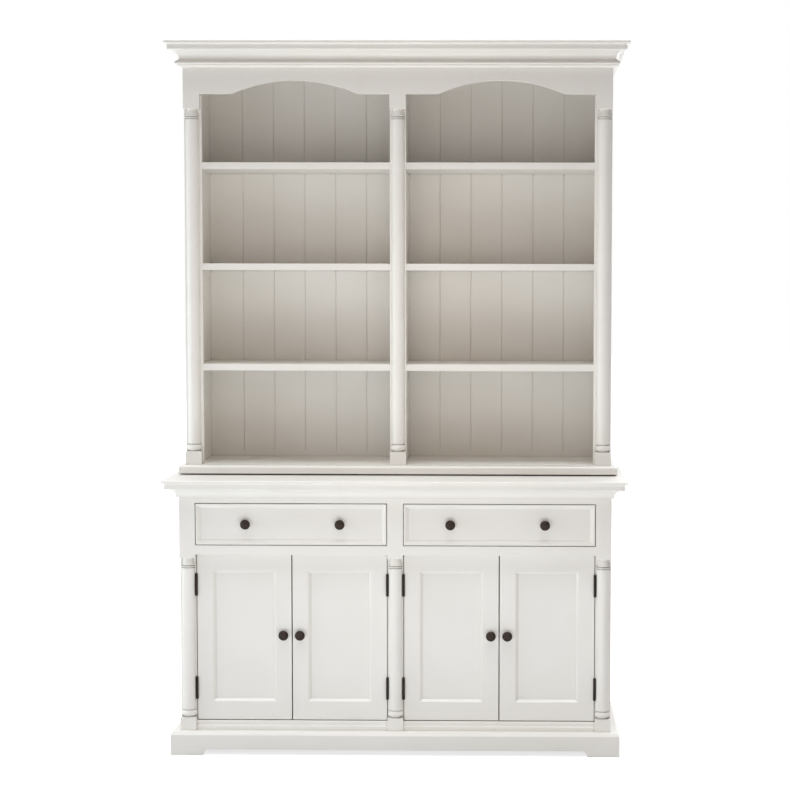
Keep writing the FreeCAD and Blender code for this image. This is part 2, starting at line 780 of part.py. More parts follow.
def make_back():
    # Tongue-and-groove boards show as planks with chamfered front edges. The innermost
    # plank of each bay runs on behind the partition, and the outermost, a little wider,
    # butts on the side.
    pitch = (hutch_side_face - hutch_partition_face - outer_plank_extra) / planks_per_bay
    rail_top = hutch_floor_top + back_rail_height
    planks = []
    for number in range(planks_per_bay):
        outermost = number == planks_per_bay - 1
        start = hutch_partition_face + number * pitch if number else 0
        end = hutch_side_face if outermost else hutch_partition_face + (number + 1) * pitch
        outline = [
            (start, back_plane, 0),
            (start, back_panel_face + plank_chamfer, 0),
            (start + plank_chamfer, back_panel_face, 0),
        ]
        if outermost:
            outline.append((end, back_panel_face, 0))
        else:
            outline.append((end - plank_chamfer, back_panel_face, 0))
            outline.append((end, back_panel_face + plank_chamfer, 0))
        outline.append((end, back_plane, 0))
        face = outline_face(outline, lambda x, y: Vector(x, y, rail_top))
        planks += with_mirror(face.extrude(Vector(0, 0, cap_bottom - rail_top)))
    save("hutch_back_planks", planks)
    rail_x = (-hutch_side_face, hutch_side_face)
    rail = box(rail_x, (back_panel_face, back_plane), (hutch_floor_top, rail_top))
    save("hutch_back_rail", [rail])


def make_crown():
    cap_half = hutch_half + cap_overhang
    cap_z = (cap_bottom, hutch_top)
    save("hutch_cap", [rounded_plate(cap_half, hutch_face - cap_overhang, cap_z, cap_edge_round)])
    reach = crown_cornice_foot_out + cornice_strip_out
    crown = cornice(crown_bottom, crown_cornice_foot_out)
    save("crown_mouldings", run_moulding(crown, hutch_half, hutch_face, reach))
    bead = [
        (0, bead_bottom, 0),
        (bead_foot_out, bead_bottom, -quarter_bow_share),
        (bead_fillet_out, bead_fillet, 0),
        (bead_fillet_out, bead_nose, 0),
        (bead_nose_out, bead_nose, bead_nose_swell / bead_nose_height),
        (bead_nose_out, bead_slope, 0),
        (crown_cornice_foot_out, crown_bottom, 0),
        (0, crown_bottom, 0),
    ]
    save("crown_beads", run_moulding(bead, hutch_half, hutch_face, bead_nose_out + bead_nose_swell))


os.makedirs("parts", exist_ok=True)
make_plinth()
make_base_carcass()
make_base_top()
make_base_inside()
make_doors()
make_drawers()
make_hutch_carcass()
make_valance()
make_shelves()
make_back()
make_crown()
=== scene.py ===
import json
import math

import bmesh
import bpy
from mathutils import Matrix, Vector
from mathutils.bvhtree import BVHTree


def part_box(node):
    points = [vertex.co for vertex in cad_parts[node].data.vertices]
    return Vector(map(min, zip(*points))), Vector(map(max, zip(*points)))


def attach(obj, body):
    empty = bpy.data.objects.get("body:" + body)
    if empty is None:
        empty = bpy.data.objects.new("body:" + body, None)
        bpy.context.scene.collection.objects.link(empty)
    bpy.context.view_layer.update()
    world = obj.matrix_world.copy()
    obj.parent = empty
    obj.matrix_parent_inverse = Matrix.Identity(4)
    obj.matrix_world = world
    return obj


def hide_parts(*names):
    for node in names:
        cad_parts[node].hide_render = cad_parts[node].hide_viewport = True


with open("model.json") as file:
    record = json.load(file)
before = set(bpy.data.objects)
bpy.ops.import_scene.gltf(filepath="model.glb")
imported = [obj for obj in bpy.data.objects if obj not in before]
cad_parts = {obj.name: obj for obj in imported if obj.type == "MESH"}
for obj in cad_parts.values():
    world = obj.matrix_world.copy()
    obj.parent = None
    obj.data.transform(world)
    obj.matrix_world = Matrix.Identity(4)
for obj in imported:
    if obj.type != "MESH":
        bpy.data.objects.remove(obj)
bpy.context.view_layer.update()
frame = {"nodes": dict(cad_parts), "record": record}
nodes = frame["nodes"]
record = frame["record"]
joints = record["behaviour"]["joints"]
nodeBody = {node: body for body, members in record["behaviour"]["bodies"].items() for node in members}
nodeSlot = {part["node"]: part["material_slot"] for part in record["subparts"]}
scene = bpy.context.scene
axes = "xyz"


# node tools
def setInputs(tree, node, links):
    # links or sets a node's inputs by name or number
    for key, value in links.items():
        if isinstance(value, bpy.types.NodeSocket):
            tree.links.new(value, node.inputs[key])
        else:
            node.inputs[key].default_value = value


def put(tree, kind, links=None, **settings):
    # adds a node and sets its options, then its inputs
    node = tree.nodes.new(kind)
    for key, value in settings.items():
        setattr(node, key, value)
    setInputs(tree, node, links or {})
    return node


def newGroup(name, inputs, outputs):
    group = bpy.data.node_groups.new(name, "ShaderNodeTree")
    for title, kind, value in inputs:
        socket = group.interface.new_socket(title, in_out="INPUT", socket_type=kind)
        socket.default_value = value
    for title in outputs:
        group.interface.new_socket(title, in_out="OUTPUT", socket_type="NodeSocketFloat")
    return group, put(group, "NodeGroupInput").outputs, put(group, "NodeGroupOutput")


mixSockets = {"factor": 0, "first": 6, "second": 7, "result": 2}  # those for colors


def mixColor(tree, factor, first, second):
    links = {mixSockets["factor"]: factor, mixSockets["first"]: first, mixSockets["second"]: second}
    return put(tree, "ShaderNodeMix", links, data_type="RGBA").outputs[mixSockets["result"]]


def calc(tree, operation, *values):
    return put(tree, "ShaderNodeMath", dict(enumerate(values)), operation=operation).outputs[0]


def remap(tree, value, span=(0.0, 1.0), newSpan=(0.0, 1.0)):
    return put(tree, "ShaderNodeMapRange", {
        "Value": value, "From Min": span[0], "From Max": span[1], "To Min": newSpan[0], "To Max": newSpan[1],
    }).outputs[0]


def noise(tree, place, scale, detail, rough=0.5):
    links = {"Vector": place, "Scale": scale, "Detail": detail, "Roughness": rough}
    return put(tree, "ShaderNodeTexNoise", links).outputs[0]


def stretched(tree, place, stretch):
    return put(tree, "ShaderNodeVectorMath", {0: place, 1: stretch}, operation="MULTIPLY").outputs[0]


vectorInputs = [("Vector", "NodeSocketVector", (0, 0, 0)), ("Stretch", "NodeSocketVector", (1, 1, 1))]

# long faint strokes left by the brush, with soft blotches and a fine skin
brushLook = {
    "strokeScale": 1.0, "strokeDetail": 4.0, "strokeRough": 0.62, "strokeSpan": (0.32, 0.68),
    "blotchScale": 5.0, "blotchDetail": 2.0, "blotchSpan": (0.3, 0.7),
    "skinScale": 700.0, "skinDetail": 1.0, "skinShare": 0.3,
}


def makeBrushMarks():
    look = brushLook
    group, ins, outs = newGroup("brushMarks", vectorInputs, ["Strokes", "Blotches", "Height"])
    run = stretched(group, ins["Vector"], ins["Stretch"])
    strokes = noise(group, run, look["strokeScale"], look["strokeDetail"], look["strokeRough"])
    blotches = noise(group, ins["Vector"], look["blotchScale"], look["blotchDetail"])
    skin = noise(group, ins["Vector"], look["skinScale"], look["skinDetail"])
    setInputs(group, outs, {
        "Strokes": remap(group, strokes, look["strokeSpan"]),
        "Blotches": remap(group, blotches, look["blotchSpan"]),
        "Height": calc(group, "MULTIPLY_ADD", skin, look["skinShare"], strokes),
    })
    return group


# painted shade that darkens corners and gaps where shadow falls, and where a finish is rubbed thin
shadeAndWearLook = {
    "cornerReach": 0.010, "cornerSpan": (0.75, 0.3), "gapSpan": (0.36, 0.10),
    "edgeReach": 0.0012, "edgeSpan": (0.12, 0.55), "samples": 6,
}


def makeShadeAndWear():
    look = shadeAndWearLook
    reaches = [("Corner Reach", "NodeSocketFloat", look["cornerReach"]),
               ("Edge Reach", "NodeSocketFloat", look["edgeReach"])]
    group, ins, outs = newGroup("cornerTone", reaches, ["Corners", "Gaps", "Edges"])
    corner = put(group, "ShaderNodeAmbientOcclusion", {"Distance": ins["Corner Reach"]},
                 samples=look["samples"]).outputs["AO"]
    edge = put(group, "ShaderNodeAmbientOcclusion", {"Distance": ins["Edge Reach"]},
               samples=look["samples"], inside=True).outputs["AO"]
    # the corner and gap masks are painted shade from ambient occlusion; the edge mask marks rubbed wear on
    # convex edges
    setInputs(group, outs, {
        "Corners": remap(group, corner, look["cornerSpan"]),
        "Gaps": remap(group, corner, look["gapSpan"]),
        "Edges": remap(group, edge, look["edgeSpan"]),
    })
    return group


# the figure of bare boards: drawn-out rings and short dark pores
figureLook = {
    "driftScale": 0.8, "driftDetail": 3.0, "ringTurns": 42.0,
    "poreScale": 28.0, "poreDetail": 3.0, "poreSpan": (0.56, 0.72),
}


def makeBoardFigure():
    look = figureLook
    group, ins, outs = newGroup("boardFigure", vectorInputs, ["Rings", "Pores", "Height"])
    run = stretched(group, ins["Vector"], ins["Stretch"])
    drift = noise(group, run, look["driftScale"], look["driftDetail"])
    bands = calc(group, "SINE", calc(group, "MULTIPLY", drift, look["ringTurns"]))
    pores = noise(group, run, look["poreScale"], look["poreDetail"])
    dark = remap(group, pores, look["poreSpan"])
    setInputs(group, outs, {
        "Rings": remap(group, bands, (-1.0, 1.0)),
        "Pores": dark,
        "Height": calc(group, "SUBTRACT", 1.0, dark),
    })
    return group


brushMarks = makeBrushMarks()
cornerTone = makeShadeAndWear()
boardFigure = makeBoardFigure()


def newMaterial(name):
    material = bpy.data.materials.new(name)
    material.use_nodes = True
    tree = material.node_tree
    tree.nodes.clear()
    shader = put(tree, "ShaderNodeBsdfPrincipled")
    put(tree, "ShaderNodeOutputMaterial", {"Surface": shader.outputs[0]})
    place = put(tree, "ShaderNodeTexCoord").outputs["Object"]
    return material, tree, shader, place


def useGroup(tree, group, links=None):
    return put(tree, "ShaderNodeGroup", links, node_tree=group).outputs


def stretchAlong(look, axis):
    stretch = [look["across"]] * 3
    stretch[axes.index(axis)] = look["along"]
    return stretch


def share(tree, value, part):
    return calc(tree, "MULTIPLY", value, part)


def finishShader(tree, shader, color, rough, height, look):
    bump = put(tree, "ShaderNodeBump", {
        "Height": height, "Strength": look["bump"], "Distance": look["bumpDepth"],
    })
    setInputs(tree, shader, {"Base Color": color, "Roughness": rough, "Normal": bump.outputs[0]})


# off-white satin paint on wood, brushed along each board
paintLook = {
    "clean": (0.868, 0.850, 0.803, 1),
    "shade": (0.836, 0.814, 0.763, 1),
    # the two darker colours below are painted shade, for inner corners and for gaps
    "corner": (0.500, 0.465, 0.410, 1),
    "grime": (0.110, 0.090, 0.076, 1),
    "strokeShare": 0.15, "blotchShare": 0.7, "cornerShare": 0.5, "gapShare": 0.85,
    "along": 3, "across": 260, "rough": (0.29, 0.36), "bump": 0.03, "bumpDepth": 0.0005,
}


def makePaint(name, axis):
    look = paintLook
    material, tree, shader, place = newMaterial(name)
    marks = useGroup(tree, brushMarks, {"Vector": place, "Stretch": stretchAlong(look, axis)})
    tone = useGroup(tree, cornerTone)
    blotches = share(tree, marks["Blotches"], look["blotchShare"])
    worn = calc(tree, "MULTIPLY_ADD", marks["Strokes"], look["strokeShare"], blotches)
    color = mixColor(tree, worn, look["clean"], look["shade"])
    # painted shade: darker paint in inner corners and a near-black line along gaps, both from ambient
    # occlusion, standing in for shadow
    color = mixColor(tree, share(tree, tone["Corners"], look["cornerShare"]), color, look["corner"])
    color = mixColor(tree, share(tree, tone["Gaps"], look["gapShare"]), color, look["grime"])
    rough = remap(tree, marks["Strokes"], newSpan=look["rough"])
    finishShader(tree, shader, color, rough, marks["Height"], look)
    return material


# pale sanded wood inside the drawers and under them
bareLook = {
    "early": (0.640, 0.480, 0.305, 1),
    "late": (0.500, 0.345, 0.200, 1),
    "pore": (0.300, 0.190, 0.105, 1),
    "poreShare": 0.6, "cornerShare": 0.5,
    "along": 1.2, "across": 16, "rough": (0.5, 0.66), "bump": 0.15, "bumpDepth": 0.0004,
}


def makeBare(name, axis):
    look = bareLook
    material, tree, shader, place = newMaterial(name)
    figure = useGroup(tree, boardFigure, {"Vector": place, "Stretch": stretchAlong(look, axis)})
    tone = useGroup(tree, cornerTone)
    color = mixColor(tree, figure["Rings"], look["early"], look["late"])
    color = mixColor(tree, share(tree, figure["Pores"], look["poreShare"]), color, look["pore"])
    # painted shade: inner corners darkened towards the pore colour, from ambient occlusion
    color = mixColor(tree, share(tree, tone["Corners"], look["cornerShare"]), color, look["pore"])
    rough = remap(tree, figure["Rings"], newSpan=look["rough"])
    finishShader(tree, shader, color, rough, figure["Height"], look)
    return material


# cast or rolled metal with a mottled finish that is rubbed on its high places
metalWork = {
    "cloudScale": 130.0, "cloudDetail": 3.0, "mottleSpan": (0.35, 0.68), "roughSpan": (0.3, 0.7),
    "gritDetail": 3.0, "rubbedShare": 0.6, "bump": 0.12, "bumpDepth": 0.0003,
}
metalLooks = {
    "knobMetal": {
        "base": (0.010, 0.007, 0.0065, 1), "mottle": (0.020, 0.014, 0.012, 1),
        "rubbed": (0.050, 0.034, 0.027, 1),
        "metallic": 0.55, "specular": 0.16, "rough": (0.38, 0.52), "grit": 900,
    },
    "hingeMetal": {
        "base": (0.008, 0.006, 0.006, 1), "mottle": (0.016, 0.012, 0.011, 1),
        "rubbed": (0.040, 0.028, 0.023, 1),
        "metallic": 0.55, "specular": 0.16, "rough": (0.40, 0.55), "grit": 1200,
    },
    "pinBrass": {
        "base": (0.640, 0.450, 0.190, 1), "mottle": (0.520, 0.350, 0.140, 1),
        "rubbed": (0.760, 0.580, 0.290, 1),
        "metallic": 1.0, "specular": 0.5, "rough": (0.26, 0.40), "grit": 1500,
    },
    "screwSteel": {
        "base": (0.060, 0.048, 0.042, 1), "mottle": (0.085, 0.066, 0.056, 1),
        "rubbed": (0.20, 0.17, 0.15, 1),
        "metallic": 0.8, "specular": 0.4, "rough": (0.32, 0.46), "grit": 1500,
    },
}


def makeMetal(name):
    look, work = metalLooks[name], metalWork
    material, tree, shader, place = newMaterial(name)
    grit = noise(tree, place, look["grit"], work["gritDetail"])
    cloud = noise(tree, place, work["cloudScale"], work["cloudDetail"])
    tone = useGroup(tree, cornerTone)
    color = mixColor(tree, remap(tree, cloud, work["mottleSpan"]), look["base"], look["mottle"])
    color = mixColor(tree, share(tree, tone["Edges"], work["rubbedShare"]), color, look["rubbed"])
    rough = remap(tree, cloud, work["roughSpan"], look["rough"])
    setInputs(tree, shader, {"Metallic": look["metallic"], "Specular IOR Level": look["specular"]})
    finishShader(tree, shader, color, rough, grit, work)
    return material


# moulded plastic for the catches, a dark painted shade for the floors of the bores, pressed felt for the
# pads
dullWork = {"detail": 3.0, "toneSpan": (0.35, 0.65), "roughSpan": (0.3, 0.7)}
dullLooks = {
    "catchPlastic": {
        "first": (0.150, 0.105, 0.075, 1), "second": (0.190, 0.140, 0.100, 1),
        "scale": 900, "rough": (0.40, 0.54), "bump": 0.10, "bumpDepth": 0.0005,
    },
    "boreShade": {
        "first": (0.030, 0.024, 0.018, 1), "second": (0.050, 0.040, 0.030, 1),
        "scale": 900, "rough": (0.72, 0.86), "bump": 0.2, "bumpDepth": 0.0005,
    },
    "padFelt": {
        "first": (0.100, 0.075, 0.060, 1), "second": (0.150, 0.115, 0.092, 1),
        "scale": 1800, "rough": (0.84, 0.98), "bump": 0.5, "bumpDepth": 0.0005,
    },
}


def makeDull(name):
    look, work = dullLooks[name], dullWork
    material, tree, shader, place = newMaterial(name)
    grain = noise(tree, place, look["scale"], work["detail"])
    color = mixColor(tree, remap(tree, grain, work["toneSpan"]), look["first"], look["second"])
    rough = remap(tree, grain, work["roughSpan"], look["rough"])
    finishShader(tree, shader, color, rough, grain, look)
    return material


paint = {axis: makePaint("paintAlong" + axis.upper(), axis) for axis in axes}
bare = {axis: makeBare("bareAlong" + axis.upper(), axis) for axis in axes}
metals = {name: makeMetal(name) for name in metalLooks}
dulls = {name: makeDull(name) for name in dullLooks}
print("finishes made:", len(bpy.data.materials), "materials")

# the finish of each slot, wood by the way its boards run
woodFinish = {"painted_wood": paint, "bare_wood": bare}
plainFinish = {
    "knob_metal": metals["knobMetal"], "hinge_metal": metals["hingeMetal"], "pin_brass": metals["pinBrass"],
    "catch_plastic": dulls["catchPlastic"], "pad_felt": dulls["padFelt"],
}


def longAxis(low, high):
    size = high - low
    return axes[max(range(3), key=lambda i: size[i])]


for name, obj in nodes.items():
    slotName = nodeSlot[name]
    if slotName in woodFinish:
        finish = woodFinish[slotName][longAxis(*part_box(name))]
    else:
        finish = plainFinish[slotName]
    obj.data.materials.clear()
    obj.data.materials.append(finish)
print("CAD nodes dressed")

# every closed solid of every node, told apart by the edges its triangles share
weldPerMetre = 1e5  # corners nearer than a hundredth of a millimetre are one


def weldedFaces(mesh):
    spots, corner = {}, []
    for vertex in mesh.vertices:
        key = tuple(round(value * weldPerMetre) for value in vertex.co)
        corner.append(spots.setdefault(key, len(spots)))
    points = [None] * len(spots)
    for vertex in mesh.vertices:
        points[corner[vertex.index]] = vertex.co.copy()
    faces = [tuple(corner[i] for i in face.vertices) for face in mesh.polygons]
    return points, [face for face in faces if len(set(face)) == 3]


def solidsOf(mesh):
    points, faces = weldedFaces(mesh)
    sides = {}
    for index, face in enumerate(faces):
        for first, second in zip(face, face[1:] + face[:1]):
            sides.setdefault((min(first, second), max(first, second)), []).append(index)
    near = [[] for face in faces]
    for shared in sides.values():  # four where two solids meet at an edge, in the order of the solids
        for first, second in zip(shared[::2], shared[1::2]):
            near[first].append(second)
            near[second].append(first)
    solids, seen = [], set()
    for start in range(len(faces)):
        if start in seen:
            continue
        seen.add(start)
        queue, solid = [start], []
        while queue:
            here = queue.pop()
            solid.append(faces[here])
            for other in near[here]:
                if other not in seen:
                    seen.add(other)
                    queue.append(other)
        solids.append(solid)
    return points, solids


nodeSolids = {name: solidsOf(obj.data) for name, obj in nodes.items()}
treePoints, treeFaces, faceOwner = [], [], []
for name, (points, solids) in nodeSolids.items():
    start = len(treePoints)
    treePoints += points
    for number, solid in enumerate(solids):
        treeFaces += [tuple(start + i for i in face) for face in solid]
        faceOwner += [(name, number)] * len(solid)
touchTree = BVHTree.FromPolygons(treePoints, treeFaces)
print("solids told apart:", sum(len(solids) for points, solids in nodeSolids.values()))


def boxOf(corners):
    low = Vector([min(corner[i] for corner in corners) for i in range(3)])
    high = Vector([max(corner[i] for corner in corners) for i in range(3)])
    return low, high


def solidBoxes(name):
    points, solids = nodeSolids[name]
    return [boxOf([points[i] for face in solid for i in face]) for solid in solids]


def middleOf(box):
    return (Vector(box[0]) + Vector(box[1])) / 2


# boards whose free edges are eased, with the width of the easing in metres
easeLook = {
    "flatAngle": 0.4, "cornerAngle": 25.0, "sharpAngle": 35.0, "segments": 3, "profile": 0.5,
    "touch": 0.0002, "probes": (0.1, 0.3, 0.5, 0.7, 0.9), "mostTouching": 2,  # of an edge's probes
    "boards": {
        "plinth_boards": 0.0016, "base_sides": 0.0012, "base_stiles": 0.0008, "base_rails": 0.0010,
        "base_bottom_rails": 0.0008, "cupboard_shelves": 0.0016, "hutch_sides": 0.0012,
        "hutch_stiles": 0.0008, "hutch_valance": 0.0010, "hutch_shelves": 0.0014,
        "crown_mouldings": 0.0006, "crown_beads": 0.0006, "base_top_mouldings": 0.0006,
        "drawer_left_front": 0.0010, "drawer_right_front": 0.0010,
        "drawer_left_sides": 0.0014, "drawer_right_sides": 0.0014,
        "drawer_left_back": 0.0014, "drawer_right_back": 0.0014,
        "door_1_frame": 0.0010, "door_2_frame": 0.0010, "door_3_frame": 0.0010, "door_4_frame": 0.0010,
    },
}


def touches(point, owner):
    near = touchTree.find_nearest_range(point, easeLook["touch"])
    return any(faceOwner[index] != owner for spot, normal, index, distance in near)


def isFree(edge, owner):
    if not edge.is_manifold or not edge.is_convex:
        return False
    if edge.calc_face_angle() < math.radians(easeLook["cornerAngle"]):
        return False
    first, second = (vertex.co for vertex in edge.verts)
    met = sum(touches(first.lerp(second, probe), owner) for probe in easeLook["probes"])
    return met <= easeLook["mostTouching"]


def easedSolid(points, solid, owner, width):
    look = easeLook
    bm = bmesh.new()
    made = {}
    for face in solid:
        for i in face:
            if i not in made:
                made[i] = bm.verts.new(points[i])
        bm.faces.new([made[i] for i in face])
    flat = math.radians(look["flatAngle"])
    bmesh.ops.dissolve_limit(bm, angle_limit=flat, verts=bm.verts[:], edges=bm.edges[:])
    bm.normal_update()
    free = [edge for edge in bm.edges if isFree(edge, owner)]
    bmesh.ops.bevel(bm, geom=free, offset=width, offset_type="OFFSET", segments=look["segments"],
                    profile=look["profile"], affect="EDGES", clamp_overlap=True)
    bm.verts.index_update()
    corners = [vertex.co.copy() for vertex in bm.verts]
    faces = [[vertex.index for vertex in face.verts] for face in bm.faces]
    bm.free()
    return corners, faces


def easeBoards(name, width):
    points, solids = nodeSolids[name]
    verts, faces, runs = [], [], []
    for number, solid in enumerate(solids):
        corners, sides = easedSolid(points, solid, (name, number), width)
        start = len(verts)
        verts += corners
        faces += [[start + i for i in side] for side in sides]
        runs += [axes.index(longAxis(*boxOf(corners)))] * len(sides)
    mesh = bpy.data.meshes.new(name + "_eased")
    mesh.from_pydata(verts, [], faces)
    for axis in axes:
        mesh.materials.append(woodFinish[nodeSlot[name]][axis])
    mesh.polygons.foreach_set("material_index", runs)
    mesh.shade_smooth()
    mesh.set_sharp_from_angle(angle=math.radians(easeLook["sharpAngle"]))
    board = bpy.data.objects.new(name + "_eased", mesh)
    scene.collection.objects.link(board)
    even = board.modifiers.new("evenNormals", "WEIGHTED_NORMAL")
    even.keep_sharp = True
    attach(board, nodeBody[name])
    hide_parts(name)


for name, width in easeLook["boards"].items():
    easeBoards(name, width)
print("boards eased:", len(easeLook["boards"]))


# geometry node tools
def newTree(name, inputs):
    tree = bpy.data.node_groups.new(name, "GeometryNodeTree")
    tree.interface.new_socket("Geometry", in_out="INPUT", socket_type="NodeSocketGeometry")
    for title, kind in inputs:
        tree.interface.new_socket(title, in_out="INPUT", socket_type=kind)
    tree.interface.new_socket("Geometry", in_out="OUTPUT", socket_type="NodeSocketGeometry")
    return tree, put(tree, "NodeGroupInput").outputs


def cutAway(tree, body, tool, lift):
    # takes a tool, lifted along Z, out of a body
    up = put(tree, "ShaderNodeCombineXYZ", {"Z": lift}).outputs[0]
    raised = put(tree, "GeometryNodeTransform", {"Geometry": tool, "Translation": up}).outputs[0]
    cut = put(tree, "GeometryNodeMeshBoolean", {"Mesh 1": body, "Mesh 2": raised},
              operation="DIFFERENCE", solver="EXACT")
    return cut.outputs[0]


def alongAim(tree):
    # turns an instance so that its own Z points along the stored aim
    aim = put(tree, "GeometryNodeInputNamedAttribute", {"Name": "aim"}, data_type="FLOAT_VECTOR")
    return put(tree, "FunctionNodeAlignRotationToVector", {"Vector": aim.outputs[0]}, axis="Z").outputs[0]


def repeat(tree, points, instance, material, turn=None):
    # one instance at each point, made real and dressed
    links = {"Points": points, "Instance": instance}
    if turn is not None:
        links["Rotation"] = turn
    copies = put(tree, "GeometryNodeInstanceOnPoints", links)
    whole = put(tree, "GeometryNodeRealizeInstances", {"Geometry": copies.outputs[0]})
    dressed = put(tree, "GeometryNodeSetMaterial", {"Geometry": whole.outputs[0], "Material": material})
    return dressed.outputs[0]


def makePiece(name, tree, spots, values, body):
    # one point for each repeat, then the tree, then a plain mesh
    mesh = bpy.data.meshes.new(name + "Points")
    mesh.from_pydata([place for place, aim in spots], [], [])
    aims = mesh.attributes.new("aim", "FLOAT_VECTOR", "POINT")
    aims.data.foreach_set("vector", [value for place, aim in spots for value in aim])
    piece = bpy.data.objects.new(name, mesh)
    scene.collection.objects.link(piece)
    modifier = piece.modifiers.new(tree.name, "NODES")
    modifier.node_group = tree
    for item in tree.interface.items_tree:
        if item.in_out == "INPUT" and item.name in values:
            modifier[item.identifier] = values[item.name]
    bpy.context.view_layer.update()
    made = bpy.data.meshes.new_from_object(piece.evaluated_get(bpy.context.evaluated_depsgraph_get()))
    piece.modifiers.clear()
    piece.data = made
    made.name = name
    bpy.data.meshes.remove(mesh)
    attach(piece, body)


roundSides = 24  # of screw heads and sleeves
randomSockets = {"low": 2, "high": 3, "result": 1}  # those for single numbers


# slotted heads, for the hinge screws and the bolts behind the knobs
def makeHeadTree():
    tree, ins = newTree("slottedHeads", [
        ("Radius", "NodeSocketFloat"), ("Top Radius", "NodeSocketFloat"), ("Height", "NodeSocketFloat"),
        ("Slot Size", "NodeSocketVector"), ("Seed", "NodeSocketInt"), ("Metal", "NodeSocketMaterial"),
    ])
    head = put(tree, "GeometryNodeMeshCone", {
        "Vertices": roundSides, "Radius Bottom": ins["Radius"], "Radius Top": ins["Top Radius"],
        "Depth": ins["Height"],
    })
    groove = put(tree, "GeometryNodeMeshCube", {"Size": ins["Slot Size"]})
    slotted = cutAway(tree, head.outputs[0], groove.outputs[0], ins["Height"])
    halfTurn = {randomSockets["low"]: 0.0, randomSockets["high"]: math.pi, "Seed": ins["Seed"]}
    spin = put(tree, "FunctionNodeRandomValue", halfTurn, data_type="FLOAT").outputs[randomSockets["result"]]
    about = put(tree, "FunctionNodeAxisAngleToRotation", {"Axis": (0, 0, 1), "Angle": spin})
    turn = put(tree, "FunctionNodeRotateRotation", {0: alongAim(tree), 1: about.outputs[0]},
               rotation_space="LOCAL")
    heads = repeat(tree, ins["Geometry"], slotted, ins["Metal"], turn.outputs[0])
    put(tree, "NodeGroupOutput", {0: heads})
    return tree


# thin brass sleeves with a shallow blind bore, its floor painted dark as shade, for the shelf pins
boreLook = {"sides": 20, "drillHeights": 4.0, "floorReach": 0.3}


def makeSleeveTree():
    look = boreLook
    tree, ins = newTree("boredSleeves", [
        ("Radius", "NodeSocketFloat"), ("Bore Radius", "NodeSocketFloat"), ("Height", "NodeSocketFloat"),
        ("Bore Lift", "NodeSocketFloat"), ("Metal", "NodeSocketMaterial"), ("Bore", "NodeSocketMaterial"),
    ])
    flange = put(tree, "GeometryNodeMeshCone", {
        "Vertices": roundSides, "Radius Bottom": ins["Radius"], "Radius Top": ins["Radius"],
        "Depth": ins["Height"],
    })
    length = calc(tree, "MULTIPLY", ins["Height"], look["drillHeights"])
    drill = put(tree, "GeometryNodeMeshCylinder", {
        "Vertices": look["sides"], "Radius": ins["Bore Radius"], "Depth": length,
    })
    lift = calc(tree, "ADD", ins["Bore Lift"], calc(tree, "MULTIPLY", length, 0.5))
    bored = cutAway(tree, flange.outputs[0], drill.outputs[0], lift)
    # the floor of the bore is the face at the height of its lift; it takes the painted shade
    spot = put(tree, "ShaderNodeSeparateXYZ", {0: put(tree, "GeometryNodeInputPosition").outputs[0]})
    away = calc(tree, "ABSOLUTE", calc(tree, "SUBTRACT", spot.outputs["Z"], ins["Bore Lift"]))
    isFloor = calc(tree, "LESS_THAN", away, calc(tree, "MULTIPLY", ins["Bore Lift"], look["floorReach"]))
    marked = put(tree, "GeometryNodeStoreNamedAttribute", {
        "Geometry": bored, "Name": "bore", "Value": isFloor,
    }, data_type="BOOLEAN", domain="FACE")
    sleeves = repeat(tree, ins["Geometry"], marked.outputs[0], ins["Metal"], alongAim(tree))
    inBore = put(tree, "GeometryNodeInputNamedAttribute", {"Name": "bore"}, data_type="BOOLEAN")
    shaded = put(tree, "GeometryNodeSetMaterial", {
        "Geometry": sleeves, "Selection": inBore.outputs[0], "Material": ins["Bore"],
    })
    put(tree, "NodeGroupOutput", {0: shaded.outputs[0]})
    return tree


# dovetails let into the ends of the drawer fronts
def makeTailTree():
    tree, ins = newTree("flaredTails", [
        ("Size", "NodeSocketVector"), ("Flare", "NodeSocketFloat"), ("Wood", "NodeSocketMaterial"),
    ])
    block = put(tree, "GeometryNodeMeshCube", {"Size": ins["Size"]})
    spot = put(tree, "ShaderNodeSeparateXYZ", {0: put(tree, "GeometryNodeInputPosition").outputs[0]})
    corner = calc(tree, "MULTIPLY", spot.outputs["Y"], spot.outputs["Z"])
    shift = put(tree, "ShaderNodeCombineXYZ", {"Z": calc(tree, "MULTIPLY", corner, ins["Flare"])})
    tail = put(tree, "GeometryNodeSetPosition", {"Geometry": block.outputs[0], "Offset": shift.outputs[0]})
    put(tree, "NodeGroupOutput", {0: repeat(tree, ins["Geometry"], tail.outputs[0], ins["Wood"])})
    return tree


headTree = makeHeadTree()
sleeveTree = makeSleeveTree()
tailTree = makeTailTree()

# three screws in each leaf of the butt hinges, whose leaves lie on both sides of the axis
hingeLook = {
    "leafClear": 0.0003, "fromEdge": 0.0073, "stepShare": 0.323, "steps": (-1, 0, 1),
    "sizes": {"Radius": 0.0033, "Top Radius": 0.0029, "Height": 0.00015,
              "Slot Size": (0.008, 0.0009, 0.0002), "Seed": 7, "Metal": metals["screwSteel"]},
}


def makeHingeScrews():
    look = hingeLook
    fixed = []
    for joint in joints:
        if joint["type"] != "hinge":
            continue
        door, axis = joint["child"], joint["pos_m"][0]
        way = 1 if middleOf(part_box(door + "_frame")).x > axis else -1
        clear = way * look["leafClear"]
        moving = []
        for low, high in solidBoxes("hinge_leaves"):
            if not low.x < axis < high.x:
                continue
            y = high.y - look["fromEdge"]
            rise = look["stepShare"] * (high.z - low.z)
            for z in (middleOf((low, high)).z + rise * step for step in look["steps"]):
                fixed.append(((axis - clear, y, z), (way, 0, 0)))
                moving.append(((axis + clear, y, z), (-way, 0, 0)))
        makePiece(door + "_hinge_screws", headTree, moving, look["sizes"], door)
    makePiece("post_hinge_screws", headTree, fixed, look["sizes"], "cabinet")


